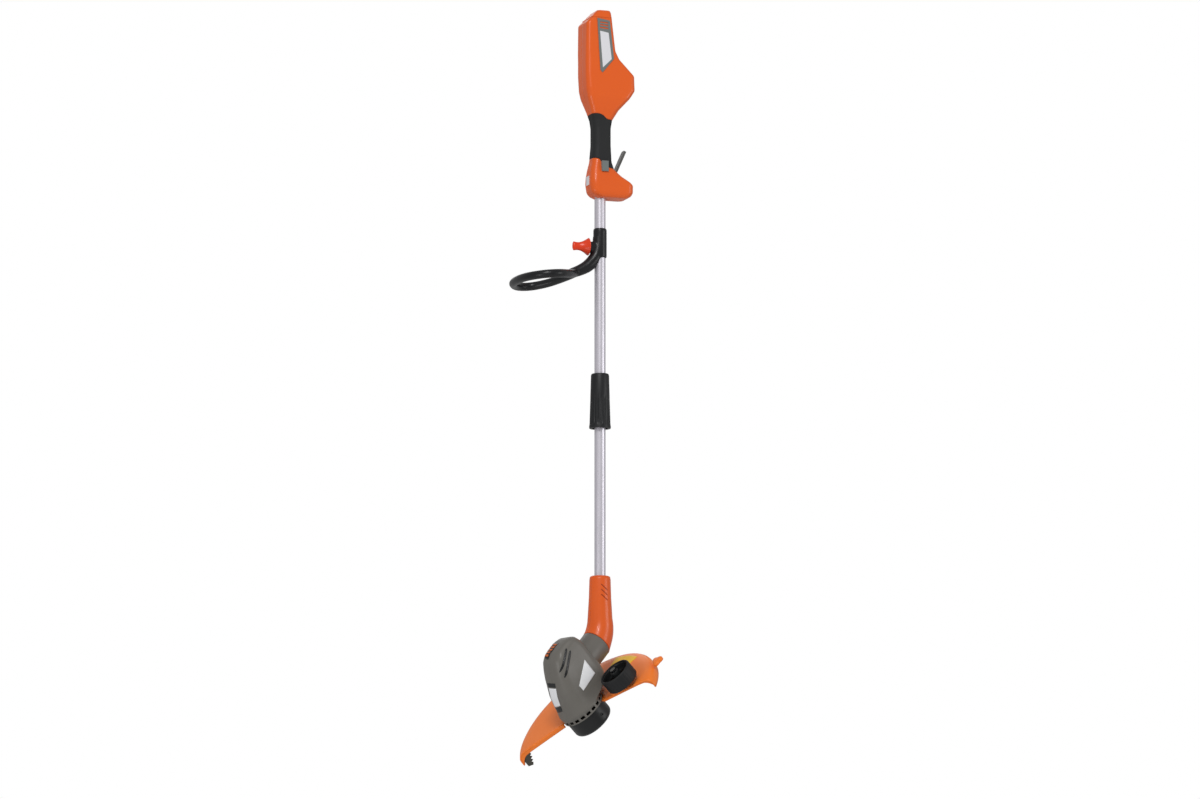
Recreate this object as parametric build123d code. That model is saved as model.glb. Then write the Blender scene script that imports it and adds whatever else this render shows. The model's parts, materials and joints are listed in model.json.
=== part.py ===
from build123d import *
import math
import os

# Cordless string trimmer, in millimetres.
# +Z runs up the shaft to the battery housing, -X is the side of the loop handle, +X the trigger's.
# The origin is on the shaft's axis, on the bare upper tube where a storage clip holds it.

os.makedirs("parts", exist_ok=True)

# ---- driving dimensions ----
TUBE_R = 11.0            # both shaft tubes
TUBE_WALL = 1.2
JOINT_Z = -168.0         # where the upper and the lower tube meet
UPPER_TOP_Z = 286.0      # upper tube's end inside the handle housing
LOWER_END_Z = -612.0     # lower tube's end inside the neck
NECK_TOP_Z = -517.0
BEND_Z = -640.0          # where the swivel axis crosses the shaft's axis
HEAD_TILT = 49.0         # tilt of the cutting plane when the shaft is upright
HEAD_YAW = 17.0          # turn of the lower shaft in the coupling
SEAM_DROP = 14.2         # bend to the neck's swivel seam, along the swivel axis
SEAM_TO_SPOOL = 120.0    # swivel seam to the spool's axis
SPOOL_DROP = 100.0       # swivel axis to the bottom of the spool cap
NECK_R = 30.4            # radius at the swivel seam
RIM_R = 46.0             # bottom rim of the head housing
CAP_R = 42.5
CAP_H = 35.5
GUARD_R = 165.0
GUARD_FROM = -65.0       # the guard's sector, in degrees from the user's side
GUARD_TO = 135.0
WHEEL_R = 33.5
WHEEL_W = 30.0
WHEEL_AT = (58.0, -86.0)
SHELL = 2.6              # moulded wall
GRIP_SKIN = 2.2          # rubber over the grip
TRIGGER_LEAN = 24.0      # of the released lever, from the shaft's axis
RUN = 0.05               # radial running clearance of shafts and pins
GAP = 0.4                # clearance between parts that move past each other
FAR = 400.0

# ---- the frame of the head: x to the neck, z up along the spool's axis ----
tilt = math.radians(HEAD_TILT)
reach = SEAM_DROP + SEAM_TO_SPOOL
NECK = Rot(0, 0, HEAD_YAW)
BEND = Pos(-reach * math.cos(tilt), 0, BEND_Z - reach * math.sin(tilt)) * Rot(0, -HEAD_TILT, 0)
HEAD = NECK * BEND


def save(name, part, place=None):
    """Writes one sub-part, moved into its place, and says its size."""
    if place is not None:
        part = place * part
    solids = part.solids()
    export_step(Compound(children=list(solids)) if len(solids) > 1 else solids[0], f"parts/{name}.step")


def rod(radius, low, high, x=0.0, y=0.0):
    """A round bar along Z from low to high."""
    return Pos(x, y, (low + high) / 2) * Cylinder(radius, high - low)


def ring(outer, inner, low, high):
    """A round sleeve along Z."""
    return rod(outer, low, high) - rod(inner, low - 1, high + 1)


def block(x0, x1, y0, y1, z0, z1):
    """A box between two corners."""
    return Pos((x0 + x1) / 2, (y0 + y1) / 2, (z0 + z1) / 2) * Box(x1 - x0, y1 - y0, z1 - z0)


def bar_y(radius, x, z, y0, y1):
    """A round bar along Y."""
    return Pos(x, (y0 + y1) / 2, z) * Rot(90, 0, 0) * Cylinder(radius, y1 - y0)


def bar_x(radius, y, z, x0, x1):
    """A round bar along X."""
    return Pos((x0 + x1) / 2, y, z) * Rot(0, 90, 0) * Cylinder(radius, x1 - x0)


def along_u(outer, inner, low, high):
    """A sleeve on the swivel axis, in the head's frame, from x = low to high."""
    tube = bar_x(outer, 0, 0, low, high)
    return tube if inner <= 0 else tube - bar_x(inner, 0, 0, low - 1, high + 1)


def slab_y(points, y0, y1):
    """A plate with an outline in X and Z, from y0 to y1."""
    outline = make_face(Polyline(*[(x, 0, z) for x, z in points], close=True))
    return Pos(0, y1, 0) * extrude(outline, amount=y1 - y0, dir=(0, -1, 0))


def skin(sections, inset=0.0):
    """A loft through rounded sections (z, low x, high x, half width, corner, extra inset)."""
    faces = []
    for z, low, high, half, corner, extra in sections:
        cut = inset * extra
        width = high - low - 2 * cut
        depth = 2 * (half - cut)
        radius = min(max(corner - cut, 1.5), width / 2 - 0.3, depth / 2 - 0.3)
        faces.append(Pos((low + high) / 2, 0, z) * RectangleRounded(width, depth, radius))
    return loft(faces, ruled=True)


def halves(solid):
    """The two mouldings either side of the plane Y = 0."""
    left = solid & block(-FAR, FAR, -FAR, 0, -FAR * 3, FAR * 3)
    right = solid & block(-FAR, FAR, 0, FAR, -FAR * 3, FAR * 3)
    return left, right


# ---- handle: sections up the housing (z, low x, high x, half width, corner, wall share) ----
HANDLE = [
    (238.0, -9.0, 52.0, 21.0, 12.0, 1.0),
    (246.0, -22.0, 63.0, 25.0, 13.0, 1.0),
    (268.0, -25.5, 64.0, 26.0, 14.0, 1.0),
    (280.0, -25.4, 43.4, 25.0, 14.0, 1.0),
    (296.0, -23.4, 25.5, 22.0, 14.0, 1.6),
    (312.0, -19.8, 21.0, 19.0, 14.0, 1.8),
    (345.0, -17.2, 19.6, 18.0, 14.0, 1.8),
    (380.0, -17.2, 19.6, 18.0, 14.0, 1.8),
    (396.0, -19.0, 22.4, 19.5, 14.0, 1.8),
    (416.0, -24.5, 33.5, 25.5, 14.0, 1.6),
    (440.0, -33.5, 55.5, 30.0, 14.0, 1.0),
    (458.0, -36.8, 65.5, 31.0, 14.0, 1.0),
    (486.0, -38.5, 64.0, 31.0, 14.0, 1.0),
    (518.0, -38.5, 33.0, 31.0, 14.0, 1.0),
    (536.0, -38.5, 23.5, 31.0, 14.0, 1.0),
    (590.0, -37.5, 17.0, 31.0, 14.0, 1.0),
    (601.0, -27.0, 16.5, 31.0, 13.0, 1.0),
    (616.0, -15.0, 15.0, 27.0, 10.0, 1.0),
]
BATTERY = (-30.0, 12.0, 27.0)      # the bay's low x, high x and half width
BAY_FLOOR_Z = 446.0
PACK_HEAD_Z = 600.0                # above this the pack's own head forms the housing's top
handle_solid = skin(HANDLE)
grip_core = skin(HANDLE, GRIP_SKIN)
handle_hollow = skin(HANDLE[1:-1], SHELL)
GRIP_EDGE = [
    (-60, 405), (-8, 405), (30, 393), (60, 393),
    (60, 290), (22, 294), (2, 306), (-8, 316), (-60, 320),
]
grip_zone = slab_y(GRIP_EDGE, -60, 60)
HANDLE_SCREWS = [(50, 256), (-15, 264), (10, 354), (-9, 378), (52, 458), (23, 526)]
TRIGGER_PIVOT = (29.0, 288.0)


def screw_y(x, z, tip, head):
    """A cross-head screw along Y with its head at y = head."""
    return bar_y(1.6, x, z, tip, head - 2.4) + bar_y(3.2, x, z, head - 2.4, head)


def handle_screws():
    parts = []
    for x, z in HANDLE_SCREWS:
        head = 11.0 if 300 < z < 400 else 20.0
        parts.append(screw_y(x, z, -8.0, head))
    return parts


def handle_shells():
    """The clamshell: battery housing, grip core and front housing in two mouldings."""
    grip = (handle_solid - grip_core) & grip_zone
    posts = bar_y(4.8, *TRIGGER_PIVOT, -40, 40)
    for x, z in HANDLE_SCREWS:
        posts += bar_y(4.6, x, z, -40, 40)
    solid = handle_solid - grip - handle_hollow + (posts & handle_solid & handle_hollow)
    low, high, half = BATTERY
    bay = block(low - GAP, high + GAP, -half - GAP, half + GAP, BAY_FLOOR_Z, 700)
    solid = solid - bay - block(-60, 60, -60, 60, PACK_HEAD_Z, 700) - rod(TUBE_R, 200, UPPER_TOP_Z)
    solid = solid - block(18, 60, -10, 10, 280, 310) - bar_y(2.0, *TRIGGER_PIVOT, -14, 14)
    solid = solid - block(-5.2, 9.2, -60, 0, 289.5, 311.5)
    for x, z in HANDLE_SCREWS:
        head = 11.0 if 300 < z < 400 else 20.0
        solid = solid - bar_y(3.3, x, z, head - 2.4, 60) - bar_y(1.6, x, z, -8.0, head)
    left, right = halves(solid)
    save("handle_shell_left", left)
    save("handle_shell_right", right)
    button_hole = block(-5.2, 9.2, -60, 0, 289.5, 311.5)
    screw_hole = Part()
    for x, z in HANDLE_SCREWS[2:4]:
        screw_hole += bar_y(3.4, x, z, 0, 60)
    save("grip_sleeve", grip - button_hole - screw_hole - block(15, 60, -10, 10, 278, 310))
    save("handle_screws", Part() + handle_screws())


def side_panels():
    """Grey vent frames set into each side of the battery housing, a foil plate in each, a front badge."""
    outline = [(-17, 598), (9.5, 594), (18, 517), (-6, 488), (-10.5, 493)]
    plate = [(-11.5, 572), (6.5, 569), (13, 516), (-5.5, 498)]
    frame = slab_y(outline, 31.0, 32.2)
    for z in (587.5, 582.0, 576.5):
        frame = frame - slab_y([(-11.5, z + 1), (6, z), (6, z + 2.6), (-11.5, z + 3.6)], 30, 33)
    frame = frame - slab_y(plate, 31.6, 33)
    foil = slab_y(plate, 31.6, 32.4)
    save("vent_panels", Part() + [frame, mirror(frame, about=Plane.XZ)])
    save("foil_plates", Part() + [foil, mirror(foil, about=Plane.XZ)])
    save("front_badge", block(-26.2, -25.5, -8, 8, 264, 282) - skin(HANDLE))


def battery():
    """The pack: a case that fills the bay, its cells, contacts and the latch button."""
    low, high, half = BATTERY
    prism = block(low, high, -half, half, BAY_FLOOR_Z + 12, PACK_HEAD_Z + 1) & skin(HANDLE, 0.8)
    head = handle_solid & block(-60, 60, -60, 60, PACK_HEAD_Z + GAP, 700)
    case = prism + head
    case = case - block(low + 2, high - 2, -half + 2, half - 2, BAY_FLOOR_Z + 14, 596)
    latch_hole = block(-12.4, 4.4, -7.4, 7.4, 590, 700)
    save("battery_case", case - latch_hole)
    cells = []
    for x in (-18.5, 0.5):
        for y in (-9.5, 9.5):
            for z in (461.0, 527.5):
                cells.append(rod(9.1, z, z + 65.0, x, y))
    save("battery_cells", Part() + cells)
    save("battery_latch", block(-12, 4, -7, 7, 596.5, 616.5))
    contacts = [block(-20, 2, y - 0.6, y + 0.6, BAY_FLOOR_Z - 10, BAY_FLOOR_Z + 9) for y in (-12, 0, 12)]
    base = block(-26, 8, -20, 20, BAY_FLOOR_Z - 14, BAY_FLOOR_Z - 1)
    save("battery_terminals", base + contacts)


def electronics():
    """Control board with its heat sink, the switch and the power lead down the shaft."""
    board = block(20, 21.6, -18, 18, 452, 512)
    save("control_board", board)
    fins = block(22, 26, -15, 15, 456, 496)
    for y in (-12, -7, -2, 3, 8, 13):
        fins += block(26, 34, y - 0.8, y + 0.8, 456, 496)
    save("heat_sink", fins)
    save("trigger_switch", block(-6, 8, -8, 8, 316, 340) + block(7.5, 12.5, -3, 3, 319, 324))
    save("power_lead", rod(2.6, -632, 286))


def trigger():
    """Lever under the grip, its hinge pin and its spring."""
    blade = Pos(0, 0, 27) * Box(4.6, 17, 54)
    blade = fillet(blade.faces().sort_by(Axis.Z)[-1].edges().filter_by(Axis.X), 4.0)
    blade = blade + bar_y(4.2, 0, 0, -8.5, 4.8) - block(-6, 6, 4.8, 20, -6, 8)
    blade = blade - bar_y(2.0 + RUN, 0, 0, -20, 20)
    save("trigger_lever", Pos(TRIGGER_PIVOT[0], 0, TRIGGER_PIVOT[1]) * Rot(0, TRIGGER_LEAN, 0) * blade)
    save("trigger_pin", bar_y(2.0, *TRIGGER_PIVOT, -14, 14))
    coil = bar_y(3.8, *TRIGGER_PIVOT, 5.2, 9.6) - bar_y(2.6, *TRIGGER_PIVOT, 0, 20)
    save("trigger_spring", coil)


def lock_button():
    """Lock-off button in the left side of the grip, pushed in against a spring."""
    body = block(-4.8, 8.8, -26.5, -11.0, 290.0, 311.0)
    spring_socket = bar_y(3.3, 2, 300.5, -14.8, -10.0)
    save("lock_button", body - spring_socket)
    save("lock_spring", bar_y(3.0, 2, 300.5, -10.8, -4.0) - bar_y(2.2, 2, 300.5, -12, 0))


def shaft():
    """Two aluminium tubes, the spigot inside them and the coupling around them."""
    bore = TUBE_R - TUBE_WALL
    save("upper_tube", ring(TUBE_R, bore, JOINT_Z + 0.3, UPPER_TOP_Z))
    save("lower_tube", ring(TUBE_R, bore, LOWER_END_Z, JOINT_Z - 0.3), NECK)
    spigot = ring(bore, 6.0, JOINT_Z, JOINT_Z + 45) + ring(bore - RUN, 6.0, JOINT_Z - 45, JOINT_Z)
    save("coupling_spigot", spigot)
    save("coupling_bush", ring(14.6, TUBE_R, JOINT_Z + 2, JOINT_Z + 44))
    collet = ring(14.2, TUBE_R, JOINT_Z - 46, JOINT_Z - 2)
    collet = collet - block(-20, 0, -1.2, 1.2, JOINT_Z - 50, JOINT_Z - 10)
    save("coupling_collet", collet, NECK)
    outline = Polyline(
        (TUBE_R + GAP, -114), (16.5, -114), (18, -116), (19.2, -150), (21, -219), (21, -223),
        (15.0, -223), (15.0, -120), (TUBE_R + GAP, -120), close=True,
    )
    sleeve = revolve(make_face(Plane.XZ * outline), Axis.Z)
    for turn in range(0, 360, 30):
        sleeve = sleeve - Rot(0, 0, turn) * Pos(22.0, 0, -192) * Cylinder(2.2, 52)
    save("coupling_sleeve", sleeve)


# ---- loop handle ----
LOOP_R = 9.0
COLLAR = (118.0, 178.0)
KNOB_Z = 140.0


def loop_handle():
    """Closed loop on a collar that a bolt and a wing knob clamp to the shaft."""
    slope = Plane(origin=(-110, 0, 71), x_dir=(-0.985, 0, -0.174), z_dir=(-0.174, 0, 0.985))
    path = slope * FilletPolyline((-60, 0), (-12, 60), (24, 74), (60, 60), (60, 0), radius=[50, 66, 40])
    half = sweep(Plane(origin=path @ 0, z_dir=path % 0) * Circle(LOOP_R), path=path)
    loop = half + mirror(half, about=Plane.XZ) + Pos(*(path @ 0)) * Sphere(LOOP_R + 0.5)
    low, high = COLLAR
    spine = FilletPolyline((-5, 0, 150), (-6, 0, 122), (-28, 0, 98), (-56, 0, 82), radius=[14, 30])
    stem = sweep(Plane(origin=spine @ 0, z_dir=spine % 0) * Circle(10.6), path=spine)
    boss = bar_x(11.0, 0, KNOB_Z, -24.5, -6)
    body = rod(13.6, low, high) + stem + boss + loop
    pocket = bar_x(7.4, 0, KNOB_Z, -15.0, 0)
    save("loop_handle", body - rod(TUBE_R, 60, 200) - bar_x(3.1, 0, KNOB_Z, -30, 0) - pocket)
    pad = bar_x(7.0, 0, KNOB_Z, -14.8, 0) - rod(TUBE_R + RUN, 100, 200)
    save("clamp_bolt", bar_x(3.0, 0, KNOB_Z, -46, -14.0) + pad)


def wing_knob():
    """Wing knob on the clamp bolt, with its brass nut."""
    profile = Polyline((0, 0), (0, 17), (3, 18), (6, 14), (12, 9), (20, 7), (27, 6), (27, 0), close=True)
    base = revolve(make_face(profile), Axis.X)
    outline = Polyline(
        (2, -16), (10, -9), (22, -8.5), (33, -11),
        (33, 11), (22, 8.5), (10, 9), (2, 16), close=True,
    )
    wing = Pos(0, 0, -3.8) * extrude(make_face(outline), amount=7.6)
    place = Pos(-25.2, 0, KNOB_Z) * Rot(90, 0, 180)
    knob = place * (base + wing)
    bolt_hole = bar_x(3.0 + RUN, 0, KNOB_Z, -47, 0)
    nut = bar_x(5.5, 0, KNOB_Z, -38, -31)
    save("wing_knob", knob - bolt_hole - nut)
    save("knob_nut", nut - bolt_hole)


# ---- neck ----
NECK_SECTIONS = [(NECK_TOP_Z, 20.4), (NECK_TOP_Z - 4, 20.9), (-560, 22.2), (-600, 24.6)]
NECK_SCREWS = [(-16.5, -546), (-16.5, -590)]


def neck_body(inset):
    """A tapered round bar down the shaft, then an elbow that ends on the tilted swivel seam."""
    outline = [(0, NECK_TOP_Z)] + [(radius - inset, z) for z, radius in NECK_SECTIONS]
    outline.append((0, NECK_SECTIONS[-1][0]))
    upper = revolve(make_face(Plane.XZ * Polyline(*outline, close=True)), Axis.Z)
    seam = (-SEAM_DROP * math.cos(tilt), 0, BEND_Z - SEAM_DROP * math.sin(tilt))
    top = Pos(0, 0, NECK_SECTIONS[-1][0]) * Circle(NECK_SECTIONS[-1][1] - inset)
    foot = Plane(origin=seam, z_dir=(-math.cos(tilt), 0, -math.sin(tilt))) * Circle(NECK_R - inset)
    return upper + loft([top, foot])


def neck():
    """Orange neck in two mouldings, screwed over the lower tube."""
    solid = neck_body(0) - (neck_body(SHELL) - block(-60, 60, -60, 60, -535, -500))
    collar = ring(24.0, TUBE_R, -560, -552) & neck_body(0)
    foot = ring(26.0, TUBE_R, -608, -600) & neck_body(0)
    posts = Part()
    for x, z in NECK_SCREWS:
        posts += bar_y(3.6, x, z, -30, 30)
    seat = (BEND * along_u(30.0, 0, SEAM_TO_SPOOL, SEAM_TO_SPOOL + 3.0)) & neck_body(0)
    solid = solid + collar + foot + (posts & neck_body(0)) + seat
    solid = solid - BEND * along_u(17.2, 0, 100, 128)
    solid = solid - rod(TUBE_R, LOWER_END_Z, -500)
    for x, z in NECK_SCREWS:
        solid = solid - bar_y(2.8, x, z, 6, 40) - bar_y(1.3, x, z, -6, 6)
    left, right = halves(solid)
    save("neck_shell_left", left, NECK)
    save("neck_shell_right", right, NECK)
    screws = [bar_y(1.3, x, z, -6, 6) + bar_y(2.7, x, z, 6, 8.4) for x, z in NECK_SCREWS]
    save("neck_screws", Part() + screws, NECK)


# ---- head housing: sections up the spool's axis (z, low x, high x, half width, corner, share) ----
RIM_Z = -63.0
GUARD_SCREW_R = 50.0
GUARD_SCREWS = (20, 65, 110)
HEAD_SECTIONS = [
    (-52.0, -46.0, 47.0, 46.0, 45.0, 1.0),
    (-44.0, -44.0, 66.0, 44.0, 38.0, 1.0),
    (-34.0, -41.0, 82.0, 41.0, 34.0, 1.0),
    (0.0, -28.0, 86.0, 36.0, 28.0, 1.0),
    (31.0, -10.0, 86.0, 33.0, 22.0, 1.0),
    (46.0, 0.0, 84.0, 30.0, 19.0, 1.0),
    (58.0, 9.0, 78.0, 27.0, 17.0, 1.0),
    (66.0, 22.0, 68.0, 21.0, 14.0, 1.0),
]


def head_housing():
    """Grey motor housing in two mouldings, with the swivel sleeve and the vents round its rim."""
    outer = skin(HEAD_SECTIONS) + rod(RIM_R, RIM_Z, -51.0) + along_u(NECK_R, 0, 70, SEAM_TO_SPOOL - GAP)
    inner = skin(HEAD_SECTIONS[:-1] + [(63.4, 20.0, 70.0, 22.0, 14.0, 1.0)], SHELL)
    inner = inner + rod(RIM_R - SHELL, RIM_Z - 1, -51.0) + along_u(NECK_R - SHELL, 0, 60, 112)
    solid = outer - inner
    solid = solid - along_u(17.0, 0, 100, 130)
    for turn in range(150, 300, 15):
        slot = Rot(0, 0, turn) * block(RIM_R - 6, RIM_R + 4, -4, 4, -61.0, -56.0)
        solid = solid - slot
    for z in (38.0, 44.0, 50.0):
        solid = solid - (Pos(0, 0, z) * Rot(0, -40, 0) * Box(60, 26, 3.0) & block(-30, 18, -14, 14, 20, 64))
    solid = solid + ring(RIM_R - 1.0, 40.0, RIM_Z, RIM_Z + 3.0)
    for turn in GUARD_SCREWS:
        boss = rod(4.4, RIM_Z, RIM_Z + 9.0, GUARD_SCREW_R) - rod(1.5, -100, RIM_Z + 7.0, GUARD_SCREW_R)
        solid = solid + Rot(0, 0, turn) * (boss - rod(RIM_R - 1.0, -100, 0))
    left, right = halves(solid)
    save("head_shell_left", left, HEAD)
    save("head_shell_right", right, HEAD)
    collar = along_u(16.9, 12.5, 100, SEAM_TO_SPOOL + 7) + along_u(24.0, 12.5, 108.0, 111.8)
    save("swivel_collar", collar + along_u(21.0, 12.5, SEAM_TO_SPOOL + 3.5, SEAM_TO_SPOOL + 6), HEAD)


def motor():
    """Can motor on its mounting plate, with the rotor that carries the spool."""
    plate = rod(42.0, -56.0, -53.5) - rod(9.0, -60, -50)
    save("motor_plate", plate, HEAD)
    can = ring(21.0, 19.2, -53.5, 2.0) + ring(20.0, 7.0, -53.5, -51.5)
    save("motor_can", can, HEAD)
    magnets = ring(19.1, 16.8, -46.0, -8.0)
    magnets = magnets - block(-30, 30, -3, 3, -50, 0) - block(-3, 3, -30, 30, -50, 0)
    save("motor_magnets", magnets, HEAD)
    save("motor_end_cap", ring(20.8, 4.1, 2.0, 5.0) + ring(8.0, 4.1, 5.0, 11.0), HEAD)
    bearings = ring(7.0, 3.0 + RUN, -51.5, -47.0) + Part() + [ring(4.1, 3.0 + RUN, 3.0, 10.0)]
    save("motor_bearings", bearings, HEAD)
    shaft_bar = rod(3.0, -92.0, 12.0)
    save("motor_shaft", shaft_bar, HEAD)
    core = ring(16.2, 3.0, -42.0, -14.0)
    for turn in range(0, 360, 36):
        core = core - Rot(0, 0, turn) * block(9, 17, -1.6, 1.6, -45, -10)
    save("armature", core + ring(7.0, 3.0, -15.0, -2.0), HEAD)
    save("motor_lead", along_u(4.0, 0, 24.0, SEAM_TO_SPOOL - 2), HEAD)


# ---- spool ----
CAP_Z = -SPOOL_DROP


def spool():
    """Drive hub, spool with its wound line, spring, cover cap, eyelets and the bump knob."""
    hub = ring(9.0, 3.0, -70.0, -62.0) + ring(6.0, 3.0, -90.0, -70.0)
    save("drive_hub", hub, HEAD)
    top = CAP_Z + CAP_H
    wall = Pos(0, 0, CAP_Z + CAP_H / 2) * Cylinder(CAP_R, CAP_H)
    wall = fillet(wall.faces().sort_by(Axis.Z)[0].edges(), 9.0)
    cap = wall - rod(CAP_R - 2.4, CAP_Z + 3.0, top + 1) - rod(17.4, CAP_Z - 1, CAP_Z + 5)
    web = ring(CAP_R - 2.4, 9.0, top - 2.4, top)
    for turn in (90, 270):
        cap = cap - Rot(0, 0, turn) * bar_x(3.4, 0, CAP_Z + 19, 30, 50)
    save("spool_cap", cap, HEAD)
    save("spool_cover", web, HEAD)
    eyelets = []
    for turn in (90, 270):
        eye = bar_x(3.4, 0, CAP_Z + 19, CAP_R - 3.2, CAP_R + 1.0) - bar_x(1.6, 0, CAP_Z + 19, 30, 60)
        eyelets.append(Rot(0, 0, turn) * eye)
    save("line_eyelets", Part() + eyelets, HEAD)
    low = CAP_Z + 10.0
    reel = ring(14.0, 9.4, low, top - 4) + ring(37.0, 9.4, low, low + 2) + ring(37.0, 9.4, top - 6, top - 4)
    save("line_spool", reel, HEAD)
    coils = ring(34.0, 14.0, low + 2.2, top - 6.2)
    for step in range(7):
        z = low + 2.2 + 2.0 * (step + 0.9)
        coils = coils - ring(35.0, 33.4, z - 0.3, z + 0.3)
    save("trimmer_line", coils, HEAD)
    save("spool_spring", ring(8.6, 7.4, CAP_Z + 11.0, CAP_Z + 28.0), HEAD)
    knob = rod(16.9, CAP_Z - 4.0, CAP_Z + 3.2) + rod(19.5, CAP_Z + 3.2, CAP_Z + 5.0)
    knob = fillet(knob.faces().sort_by(Axis.Z)[0].edges(), 2.0)
    knob = knob - rod(13.0, CAP_Z + 1.0, CAP_Z + 6.0)
    save("bump_knob", knob, HEAD)


# ---- guard ----
def sector(from_deg, to_deg, low, high, radius=300.0):
    """A wedge of space about Z."""
    points = [(0, 0)]
    steps = 8
    for i in range(steps + 1):
        angle = math.radians(from_deg + (to_deg - from_deg) * i / steps)
        points.append((radius * math.cos(angle), radius * math.sin(angle)))
    face = make_face(Polyline(*points, close=True))
    return Pos(0, 0, low) * extrude(face, amount=high - low)


GUARD_TOP = RIM_Z
GUARD_T = 2.6
SKIRT_LOW = -88.0
CUTTER_AT = 131.0


def guard():
    """Orange guard: a sector plate under the head's rim, its outer skirt, end lips and ribs."""
    plate = ring(GUARD_R, 44.0, GUARD_TOP - GUARD_T, GUARD_TOP)
    skirt = ring(GUARD_R, GUARD_R - GUARD_T, SKIRT_LOW, GUARD_TOP)
    body = (plate + skirt) & sector(GUARD_FROM, GUARD_TO, -120, -20)
    for turn in (GUARD_FROM + 0.8, GUARD_TO - 0.8):
        body = body + Rot(0, 0, turn) * block(48, GUARD_R - 1, -1.2, 1.2, GUARD_TOP - 11, GUARD_TOP)
    for turn in (-20, 30, 80):
        body = body + Rot(0, 0, turn) * block(50, GUARD_R - 1, -1.1, 1.1, GUARD_TOP - 8, GUARD_TOP)
    boss = rod(8.5, GUARD_TOP - 4, GUARD_TOP + 6, *WHEEL_AT)
    body = body + boss - rod(4.0, GUARD_TOP - 10, GUARD_TOP + 20, *WHEEL_AT)
    ear = Pos(GUARD_R + 5, 0, GUARD_TOP - 5) * Box(16, 30, 8)
    body = body + Rot(0, 0, -45) * (fillet(ear.edges().filter_by(Axis.Z), 5.0))
    screws = []
    for turn in GUARD_SCREWS:
        body = body - Rot(0, 0, turn) * rod(1.5, -100, 0, GUARD_SCREW_R)
        screw = rod(1.5, GUARD_TOP - GUARD_T - 2.0, GUARD_TOP + 6.5, GUARD_SCREW_R)
        head = rod(3.0, GUARD_TOP - GUARD_T - 2.4, GUARD_TOP - GUARD_T, GUARD_SCREW_R)
        screws.append(Rot(0, 0, turn) * (screw + head))
    save("guard", body, HEAD)
    save("guard_screws", Part() + screws, HEAD)
    blade = block(GUARD_R - 22, GUARD_R - 5.0, -1.0, 1.0, SKIRT_LOW - 12, SKIRT_LOW + 12)
    foot = block(GUARD_R - 5.0, GUARD_R - GUARD_T - 0.6, -11.0, 1.0, SKIRT_LOW - 12, SKIRT_LOW + 12)
    save("line_cutter", Rot(0, 0, CUTTER_AT) * (blade + foot), HEAD)
    heads = []
    for z in (SKIRT_LOW + 3, SKIRT_LOW + 9):
        heads.append(bar_x(1.8, -7.0, z, GUARD_R - 7.0, GUARD_R - 5.0))
    save("cutter_screws", Rot(0, 0, CUTTER_AT) * (Part() + heads), HEAD)


def wheel():
    """Edging wheel on a steel axle that stands in the guard's boss."""
    low = GUARD_TOP + 7.0
    high = low + WHEEL_W
    axle = rod(4.0, GUARD_TOP - 3.0, high + 5.0, *WHEEL_AT)
    save("wheel_axle", axle, HEAD)
    rim = Cylinder(WHEEL_R - 3, WHEEL_W)
    rim = rim - Pos(0, 0, 2) * Cylinder(WHEEL_R - 7, WHEEL_W + 4) + Pos(0, 0, -4) * Cylinder(WHEEL_R - 6, 3)
    rim = rim + Cylinder(8.5, WHEEL_W)
    for turn in range(0, 360, 60):
        rim = rim - Rot(0, 0, turn + 30) * Pos(17.0, 0, 0) * Cylinder(4.5, 40)
    rim = rim - Cylinder(4.0 + RUN, WHEEL_W + 20)
    place = HEAD * Pos(WHEEL_AT[0], WHEEL_AT[1], (low + high) / 2)
    save("wheel_rim", rim, place)
    tyre = Cylinder(WHEEL_R, WHEEL_W) - Cylinder(WHEEL_R - 3, WHEEL_W + 2)
    tyre = fillet(tyre.edges().filter_by(GeomType.CIRCLE).sort_by(SortBy.RADIUS)[-2:], 2.0)
    for turn in range(0, 360, 15):
        tyre = tyre - Rot(0, 0, turn) * Pos(WHEEL_R + 0.2, 0, 0) * Box(1.6, 2.0, WHEEL_W + 2)
    save("wheel_tyre", tyre, place)
    cap = rod(6.0, high + 0.6, high + 5.6, *WHEEL_AT) - rod(4.0, high - 5, high + 5.0, *WHEEL_AT)
    save("axle_cap", cap, HEAD)


handle_shells()
side_panels()
battery()
electronics()
trigger()
lock_button()
shaft()
loop_handle()
wing_knob()
neck()
head_housing()
motor()
spool()
guard()
wheel()
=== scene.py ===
import bpy
import bmesh
import json
import math
import numpy as np
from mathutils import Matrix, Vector


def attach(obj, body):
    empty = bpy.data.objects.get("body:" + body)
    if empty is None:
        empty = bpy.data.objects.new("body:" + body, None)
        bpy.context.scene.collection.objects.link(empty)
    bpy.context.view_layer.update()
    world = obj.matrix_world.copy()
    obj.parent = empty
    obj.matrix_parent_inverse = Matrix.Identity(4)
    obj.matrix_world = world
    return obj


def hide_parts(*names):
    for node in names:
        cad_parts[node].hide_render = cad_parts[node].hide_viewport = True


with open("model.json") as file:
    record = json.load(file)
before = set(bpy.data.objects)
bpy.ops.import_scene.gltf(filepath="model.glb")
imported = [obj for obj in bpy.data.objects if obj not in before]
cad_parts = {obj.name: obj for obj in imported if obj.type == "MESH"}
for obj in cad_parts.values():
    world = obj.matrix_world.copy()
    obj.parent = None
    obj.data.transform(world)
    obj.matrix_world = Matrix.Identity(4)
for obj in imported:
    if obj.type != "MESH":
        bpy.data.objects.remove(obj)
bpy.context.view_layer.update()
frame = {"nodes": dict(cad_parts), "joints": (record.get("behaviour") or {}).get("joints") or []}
nodes = frame["nodes"]

# The studio: a plain pale floor well under the tool, a white surround and three soft lamps.
# The camera stands far off on the tool's left, a little to the front, and looks slightly up.


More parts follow.
